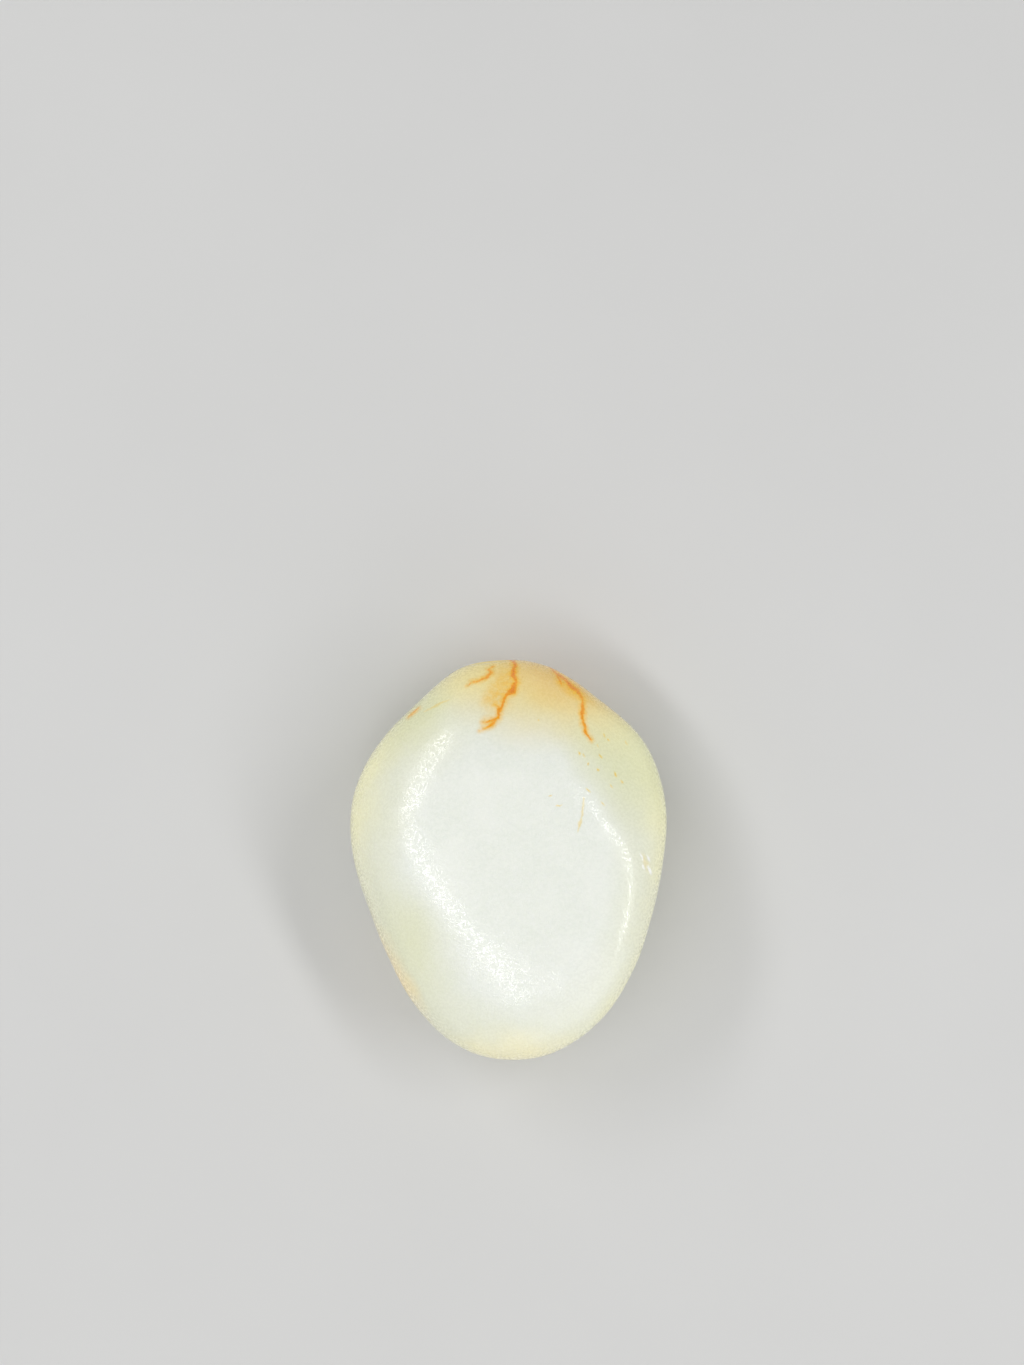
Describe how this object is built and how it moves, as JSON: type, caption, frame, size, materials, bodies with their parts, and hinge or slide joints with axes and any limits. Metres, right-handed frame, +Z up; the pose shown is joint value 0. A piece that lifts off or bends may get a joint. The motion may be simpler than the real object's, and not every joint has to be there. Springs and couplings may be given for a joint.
{
  "type": "raw jade boulder",
  "caption": "Small water-worn boulder of raw white jade, a flattened teardrop with soft shoulders, rust-coloured veins at its broad end and a worn flat to lie on.",
  "frame": {"origin": "middle of the stone's footprint box, on the surface that it lies on", "axes": "+Z up, out of the broad show face; +Y along the stone towards its stained end; +X to the right across the show face as it is looked down on"},
  "size_m": [0.0398, 0.05, 0.021],
  "materials": {
    "jade": "smooth, waxy and finely pitted water-worn skin"
  },
  "bodies": {
    "root": {"jade_stone": "jade"}
  },
  "joints": []
}
